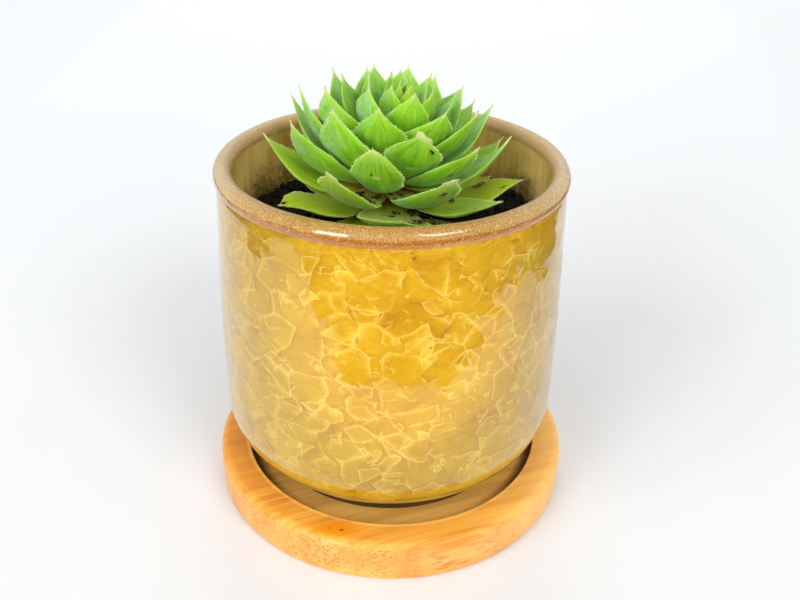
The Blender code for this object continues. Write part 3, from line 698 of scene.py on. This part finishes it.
def fresh_leaf():
    """Fresh houseleek leaf: wet green flesh under a thin waxy skin, dry along its edge, and a painted sheen
    on faces turned left and on inner faces behind the crown.
    """
    made, tree, shader, mm = new_finish(
        "fresh_houseleek_leaf", 0.42, Specular_IOR_Level=0.14, Subsurface_Weight=0.5,
        Subsurface_Scale=2.4 * MM, Subsurface_Radius=(0.6, 1.0, 0.1), Sheen_Weight=0.2, Sheen_Roughness=0.3,
        Sheen_Tint="#E4F4E0")
    along, across, age, tone, sheen_and_bloom = (
        add_node(tree, "Attribute", attribute_name=name).outputs["Fac"] for name in LEAF_LAYERS)
    # lighter and yellower towards the base than in the middle: painted light that cancels the shade deep
    # between the leaves
    green = add_node(tree, "ValToRGB", {"Fac": along}, stops=(
        (0.00, "#B49C34"), (0.16, "#A8BE20"), (0.34, "#8CC014"), (0.62, "#7AB40E"), (0.84, "#88BA24"),
        (0.95, "#ACCA60")))
    # patterns on the leaf's own grid, and a different piece of them for each leaf
    other = add_node(tree, "Math", {0: tone, 1: 90.0}, operation="MULTIPLY")
    length = add_node(tree, "Math", {0: along, 1: LEAF_GRID[0]}, operation="MULTIPLY")
    width = add_node(tree, "Math", {0: across, 1: LEAF_GRID[1]}, operation="MULTIPLY")
    grid = add_node(tree, "CombineXYZ", {"X": length, "Y": width, "Z": other})
    stretched = add_node(tree, "VectorMath", {0: grid, 1: (1 / 6, 1 / 1.1, 1.0)}, operation="MULTIPLY")
    veins = add_node(tree, "TexNoise", {"Vector": stretched, "Scale": 1.0, "Detail": 5.0, "Roughness": 0.6})
    wax = add_node(tree, "TexNoise", {"Vector": grid, "Scale": 1 / 2.2, "Detail": 4.0, "Roughness": 0.65})
    waxy_sheen = add_node(tree, "Math", {0: sheen_and_bloom, 1: 0.95, 2: 0.05}, operation="MULTIPLY_ADD")
    # fine down all over the skin: drawn 0.5 mm apart, coarser than it is
    down = add_node(tree, "TexNoise", {"Vector": mm, "Scale": 1 / 0.5, "Detail": 3.0, "Roughness": 0.7})
    rubs_and_highlights = []
    for number, place, size in RUBS_AND_HIGHLIGHTS:
        same = add_node(tree, "Math", {0: age, 1: (number - 0.5) / FULL_GROWN, 2: 0.005}, operation="COMPARE")
        centre = (LEAF_GRID[0] * place[0], LEAF_GRID[1] * place[1], 0.0)
        off = distance_from(tree, grid, centre, (size, 2 * size, math.inf))
        ragged = add_node(tree, "Math", {0: down, 1: 3.0, 2: off}, operation="MULTIPLY_ADD")
        rubs_and_highlights.append((ragged, 2.5, 1.8, 0.7, same, "#C2D88A"))
    edge = add_node(tree, "Math", {0: across}, operation="ABSOLUTE")
    dry_along = add_node(tree, "MapRange", {"Value": along, "From Min": 0.15, "From Max": 0.5})
    some = add_node(tree, "Math", {0: tone, 1: 0.6}, operation="GREATER_THAN")
    skin = paint_over(tree, green, [
        (veins, 0.50, 0.68, 0.6, 1.0, "#AAD43C"),           # pale strands along the leaf
        (veins, 0.47, 0.32, 0.52, 1.0, "#4E8804"),          # and deeper flesh between them
        (down, 0.56, 0.70, 0.6, 1.0, "#B6D452"),            # the down, and the gaps in it
        (down, 0.44, 0.30, 0.35, 1.0, "#528A06"),
        (wax, 0.36, 0.66, 1.0, waxy_sheen, "#A4CCA0"),            # the bloom, pale where sheen and reflection are painted on
        (age, 0.74, 0.95, 1.4, veins, "#AAB00C"),           # yellow patches on the oldest leaves
        *rubs_and_highlights,                                             # the rubbed place and the painted highlight
        (age, 0.16, -0.06, 0.6, 1.0, "#A6CC3C"),            # the youngest leaves are pale
        (edge, 0.76, 0.97, 0.35, 1.0, "#A8D440"),           # light through the thin margin
        (edge, 0.965, 0.995, 0.7, dry_along, "#C6DC8C"),    # the dry edge
        (along, 0.925, 0.975, 0.85, 1.0, "#CFDA9A"),        # the dry point, burnt on some leaves
        (along, 0.985, 0.995, 1.0, some, "#8A5040"),
        (along, 0.22, 0.05, 1.0, age, "#9A5C1C")])          # brown feet on the older leaves
    ridged = add_node(tree, "Math", {0: veins, 1: 1.6, 2: down}, operation="MULTIPLY_ADD")
    bump = add_node(tree, "Bump", {"Height": ridged, "Strength": 0.6, "Distance": 0.14 * MM})
    feed(tree, shader, {"Base Color": skin, "Normal": bump})
    return made


def add_leaf(bm, number):
    """Adds a leaf's skin and the hairs of its edge."""
    leaf = Leaf(number)
    tone = chance.random() * (0.5 if leaf.cut else 1.0)
    layers = [bm.verts.layers.float.get(name) or bm.verts.layers.float.new(name) for name in LEAF_LAYERS]
    skin = bmesh.ops.create_uvsphere(bm, u_segments=LEAF_SIDES, v_segments=LEAF_STATIONS, radius=1.0)["verts"]
    for vert in skin:
        along = min(max(0.5 * (vert.co.z + 1.0), 0.0), 1.0)
        ring = math.hypot(vert.co.x, vert.co.y) or 1.0
        across, face = vert.co.x / ring, vert.co.y / ring
        vert.co = leaf.point(along, across, face)
        for layer, value in zip(layers, (along, across, leaf.age, tone, face)):
            vert[layer] = value
    bm.normal_update()
    sheen_and_bloom = layers[-1]                  # holds the face until here
    for vert in skin:                   # painted sheen and reflection: the bloom shows pale on faces turned to the left and on faces behind the crown, inner ones most, less to the right
        back_reflection = min(max((vert.co.y - crown.y) / (8 * MM), 0.0), 1.0) * (0.6 if vert[sheen_and_bloom] > 0.0 else 0.2)
        back_reflection *= 1.0 - 0.6 * min(max((vert.co.x - crown.x) / (10 * MM), 0.0), 1.0)
        left_sheen = min(max(-0.45 - 1.8 * vert.normal.x, 0.0), 1.0) * (1.0 - 0.7 * min(leaf.age, 1.0) ** 2)
        vert[sheen_and_bloom] = max(back_reflection, left_sheen)
    spine = [leaf.point(step / 40, 0, 0) for step in range(41)]
    hairs = int(HAIRY_SHARE * sum((b - a).length for a, b in zip(spine, spine[1:])) / HAIR_SPACING)
    for side in (-1, 1):
        for hair in range(hairs):
            along = mix(0.28, 0.96, (hair + chance.uniform(0.2, 0.8)) / hairs)
            root = leaf.point(along, side, 0)
            outward = (root - leaf.point(along, 0.8 * side, 0)).normalized()
            forward = (leaf.point(min(along + 0.02, 1.0), side, 0) - root).normalized()
            stray = Vector([chance.uniform(-0.3, 0.3) for _ in range(3)])
            aim = (outward + 0.7 * forward + stray).normalized()
            size = chance.uniform(0.2, 0.6) * MM * min(1.0, 0.5 + max(leaf.age, 0.0))
            turn = aim.to_track_quat("Z", "Y").to_matrix().to_4x4()
            made = bmesh.ops.create_cone(
                bm, segments=3, radius1=0.11 * MM, radius2=0.02 * MM, depth=size, cap_ends=True,
                matrix=Matrix.Translation(root + 0.4 * size * aim) @ turn)
            for face in {face for vert in made["verts"] for face in vert.link_faces}:
                face.material_index = 1


# the hairs are dry, nearly colourless cell walls
leaf_edge_hair = new_finish("leaf_edge_hair", 0.5, Base_Color="#C4DC8E")[0]
leaf_finishes = [fresh_leaf(), leaf_edge_hair]
for number in range(1, LEAF_COUNT + 1):
    bm = bmesh.new()
    add_leaf(bm, number)
    put_down(f"houseleek_leaf_{number:02d}", bm, leaf_finishes, [f"leaf_{number:02d}"],
             sharp=60.0)


# ---- Stem and bud ----------------------------------------------------------------------------------
# A short stem that tapers up through the rosette, with the youngest leaves still closed round its end.
# It stands in a socket in the soil.

STEM_DEPTH = 14.0 * MM
BUD_HEIGHT = 21.0 * MM
STEM_STEPS = 32
BUD_LEAVES = 4

profile = [(0.0, -STEM_DEPTH), (0.6 * STEM_RADIUS, -STEM_DEPTH), (STEM_RADIUS, -0.85 * STEM_DEPTH)]
profile += [(stem_radius(share * STEM_HEIGHT), share * STEM_HEIGHT) for share in (0.0, 0.33, 0.67, 1.0)]
profile += arc((0.0, STEM_HEIGHT), 1.25 * BUD_RADIUS, 20, 90, 8, height=BUD_HEIGHT - STEM_HEIGHT)
bm = turned(profile, False, STEM_STEPS)
bmesh.ops.transform(bm, matrix=rosette, verts=bm.verts)
for number in range(0, -BUD_LEAVES, -1):
    add_leaf(bm, number)
put_down("houseleek_stem_and_bud", bm, leaf_finishes, ["stem_and_bud"], sharp=60.0)


# ---- Soil on the leaves ----------------------------------------------------------------------------
# Crumbs of compost left lying in the corners between the lowest leaves, and single ones stuck higher
# up. Nearly half of them have dried out to a paler brown.

# leaf, how far along it, where across it, on its outer (-1) or inner (1) face, how many, how far apart
LEFT_SOIL = (
    (39, 0.22, -0.50, 1, 16, 1.0), (39, 0.30, -0.10, 1, 22, 1.2), (39, 0.38, 0.37, 1, 18, 1.1),
    (39, 0.43, 0.68, 1, 12, 0.9), (39, 0.17, 0.50, 1, 14, 1.2), (31, 0.30, 0.55, -1, 8, 0.9),
    (31, 0.26, 0.10, -1, 5, 0.9), (36, 0.66, -0.95, 1, 7, 0.5), (36, 0.17, -0.15, 1, 14, 1.0),
    (36, 0.84, 0.08, -1, 6, 0.5), (36, 0.70, 0.69, -1, 8, 0.7), (36, 0.35, -0.80, 1, 6, 0.7),
    (23, 0.84, 0.66, -1, 7, 0.35), (31, 0.73, -0.16, -1, 2, 0.15), (28, 0.66, -0.30, -1, 2, 0.2),
    (44, 0.27, 0.86, 1, 20, 1.2), (44, 0.55, 0.75, 1, 22, 1.3), (44, 0.68, 0.50, 1, 14, 1.1),
    (44, 0.30, 0.17, 1, 14, 0.9), (44, 0.42, -0.05, 1, 10, 0.8), (49, 0.30, 0.58, 1, 16, 1.2),
    (49, 0.45, 0.17, 1, 18, 1.3), (49, 0.62, -0.35, 1, 12, 1.0), (47, 0.93, -0.10, 1, 6, 0.5),
    (46, 0.62, 0.60, 1, 7, 0.7), (46, 0.80, -0.40, 1, 4, 0.5), (50, 0.55, 0.10, 1, 8, 1.0),
    (51, 0.60, 0.10, 1, 8, 1.0), (48, 0.50, -0.20, 1, 10, 1.2), (45, 0.45, 0.30, 1, 6, 0.9))
CRUMBS_FOR_EACH = 3                 # that the table counts
CRUMB_SPREAD = 0.55
DRY_SHARE = 0.45


def dry_peat():
    """Crumbs of peat that have dried out on the leaves, and bits of dead leaf: brown."""
    made, tree, shader, mm = new_finish("dry_peat", 0.9, Specular_IOR_Level=0.2)
    grains = add_node(tree, "TexNoise", {"Vector": mm, "Scale": 1 / 0.8, "Detail": 2.0})
    colour = add_node(tree, "ValToRGB", {"Fac": grains}, stops=(
        (0.35, "#4A3622"), (0.50, "#705434"), (0.65, "#A08858")))
    feed(tree, shader, {"Base Color": colour})
    return made


damp_places, dry_places = [], []
for number, along, across, face, count, spread in LEFT_SOIL:
    leaf = Leaf(number)
    for _ in range(CRUMBS_FOR_EACH * count):
        aside = across + chance.gauss(0, CRUMB_SPREAD) * spread / 6.0
        onward = along + chance.gauss(0, CRUMB_SPREAD) * spread / 20.0
        size = chance.uniform(0.10, 0.22 + 0.16 * chance.random() ** 2) * MM
        place = leaf.point(min(max(onward, 0.05), 0.98), min(max(aside, -1.0), 1.0), face)
        (dry_places if chance.random() < DRY_SHARE else damp_places).append((place, size))
put_down("soil_on_leaves", crumb_heap(damp_places), [peat])
put_down("dry_soil_on_leaves", crumb_heap(dry_places), [dry_peat()])


# ---- Water drops -----------------------------------------------------------------------------------
# A few drops left from watering. They stand up round on the waxy skin, and take no slot of the record.

# leaf, how far along it, where across it, radius in millimetres
DROPS = ((21, 0.81, -0.13, 0.42), (21, 0.66, -0.33, 0.34), (13, 0.86, -0.50, 0.30), (13, 0.80, -0.42, 0.24),
         (13, 0.63, -0.33, 0.36), (18, 0.67, 0.41, 0.32), (24, 0.75, -0.07, 0.30), (26, 0.93, -0.20, 0.36),
         (18, 0.45, 0.30, 0.22), (10, 0.70, -0.10, 0.24), (23, 0.50, -0.30, 0.26), (30, 0.70, 0.20, 0.34))
DROP_HEIGHT = 0.62

bm = bmesh.new()
for number, along, across, size in DROPS:
    leaf = Leaf(number)
    place, inner = (leaf.point(along, across, face) for face in (-1, 0))
    up = (place - inner).normalized().to_track_quat("Z", "Y").to_matrix().to_4x4()
    flattened = Matrix.Diagonal((1.0, 1.0, DROP_HEIGHT, 1.0))
    bmesh.ops.create_uvsphere(bm, u_segments=16, v_segments=10, radius=size * MM,
                              matrix=Matrix.Translation(place) @ up @ flattened)
# clean water: clear, with a hard bright glint
clear_water = new_finish("clear_water", 0.02, IOR=1.33, Transmission_Weight=1.0, Base_Color="#FFFFFF")[0]
put_down("water_drops", bm, [clear_water])


# ---- Floor, light and camera -----------------------------------------------------------------------
# A sheet of white paper under two softboxes that hang over the left and the right of the pot. What
# lies beyond the paper's edge is dark, and shows only as the deep tone in the middle of the glaze.

# corners of the dark surround in front of the paper, and to the left and right of it, in metres
SURROUNDS = {
    "surround_front": ((-0.6, -0.6), (0.6, -0.6), (0.6, -0.03), (0.2, -0.03), (0.155, -0.055), (0.1, -0.103),
                       (0.0, -0.113), (-0.1, -0.127), (-0.22, -0.138), (-0.6, -0.138)),
    "surround_left": ((-0.6, -0.138), (-0.22, -0.138), (-0.22, 0.6), (-0.6, 0.6)),
    "surround_right": ((0.2, -0.03), (0.6, -0.03), (0.6, 0.6), (0.3, 0.6), (0.19, 0.2), (0.155, 0.085)),
}
PAPER_REACH = 2.0
ROOM_BACK, ROOM_FRONT = 0.42, 1.04    # the room's light, brightest behind the camera
CAMERA_PLACE = (0.00165, -0.18418, 0.1548)
CAMERA_TILT = math.radians(60.006)
CAMERA_ROLL = 0.02
CAMERA_LENS = 39.15


def flat_piece(name, corners, finish):
    """A flat sheet between the corners, which belongs to the stage and not to the object."""
    bm = bmesh.new()
    bm.faces.new([bm.verts.new(corner) for corner in corners])
    mesh = bpy.data.meshes.new(name)
    bm.to_mesh(mesh)
    bm.free()
    mesh.materials.append(finish)
    made = bpy.data.objects.new(name, mesh)
    bpy.context.scene.collection.objects.link(made)
    return made


ground = cad_box[0][2]
white_paper = new_finish("white_paper", 0.8, Specular_IOR_Level=0.2, Base_Color="#E0E2E4")[0]
flat_piece("paper_floor", [(x * PAPER_REACH, y * PAPER_REACH, ground) for x, y in
                           ((-1, -1), (1, -1), (1, 1), (-1, 1))], white_paper)
# the dark surround is seen in the glaze and in nothing else
dark_surround = new_finish("dark_surround", 0.9, Specular_IOR_Level=0.2, Base_Color="#2A2622")[0]
for name, corners in SURROUNDS.items():
    card = flat_piece(name, [(x, y, ground + 0.4 * MM) for x, y in corners], dark_surround)
    for rays in ("camera", "diffuse", "shadow", "transmission", "volume_scatter"):
        setattr(card, "visible_" + rays, False)

world = bpy.data.worlds.new("studio")
world.use_nodes = True
studio = world.node_tree
toward = add_node(studio, "TexCoord").outputs["Generated"]
ahead = add_node(studio, "VectorMath", {0: toward, 1: (0.04, -0.93, 0.36)}, operation="DOT_PRODUCT")
strength = add_node(studio, "MapRange", {
    "Value": ahead, "From Min": -0.3, "From Max": 0.95, "To Min": ROOM_BACK, "To Max": ROOM_FRONT},
    interpolation_type="SMOOTHSTEP")
feed(studio, studio.nodes["Background"], {"Color": "#FFFFFF", "Strength": strength})
bpy.context.scene.world = world


def hang_softbox(name, aim, direction, distance, size, power, tint=(1.0, 1.0, 1.0), mirrored=True):
    """A rectangular lamp of the given width and height in metres and power in watts, seen from the aim
    in the given direction and turned towards it."""
    light = bpy.data.lights.new(name, "AREA")
    light.shape = "RECTANGLE"
    light.size, light.size_y = size
    light.energy = power
    light.color = tint
    lamp = bpy.data.objects.new(name, light)
    toward = Vector(direction).normalized()
    lamp.location = aim + toward * distance
    lamp.rotation_euler = toward.to_track_quat("Z", "Y").to_euler()
    lamp.visible_glossy = mirrored
    bpy.context.scene.collection.objects.link(lamp)


rim_front = Vector((pot_centre.x, pot_centre.y - 0.03, rim_top))
hang_softbox("window_left", rim_front, (-0.562, -0.774, 0.292), 4.5, (1.67, 1.8), 82.0, (0.93, 0.97, 1.0))
hang_softbox("window_right", rim_front, (0.50, -0.595, 0.629), 4.5, (1.71, 1.26), 43.0, (1.0, 0.99, 0.96))
# white walls throw the windows' light back from lower down, without a reflection of their own
hang_softbox("wall_left", rim_front, (-0.70, -0.50, 0.51), 4.5, (2.2, 2.2), 60.0, mirrored=False)
hang_softbox("wall_right", rim_front, (0.48, -0.77, 0.41), 4.5, (2.2, 2.2), 47.0, mirrored=False)
hang_softbox("wall_behind", Vector((0.0, 0.45, 0.0)), (0.0, 0.45, 0.9), 0.9, (0.5, 0.5), 2.5, mirrored=False)

camera_data = bpy.data.cameras.new("camera")
camera_data.lens = CAMERA_LENS
camera_data.sensor_width = 36.0
camera_data.clip_start = 0.01
camera = bpy.data.objects.new("camera", camera_data)
camera.matrix_world = (Matrix.Translation(CAMERA_PLACE) @ Matrix.Rotation(CAMERA_TILT, 4, "X")
                       @ Matrix.Rotation(CAMERA_ROLL, 4, "Z"))
bpy.context.scene.collection.objects.link(camera)
bpy.context.scene.camera = camera
bpy.context.scene.view_settings.view_transform = "Standard"
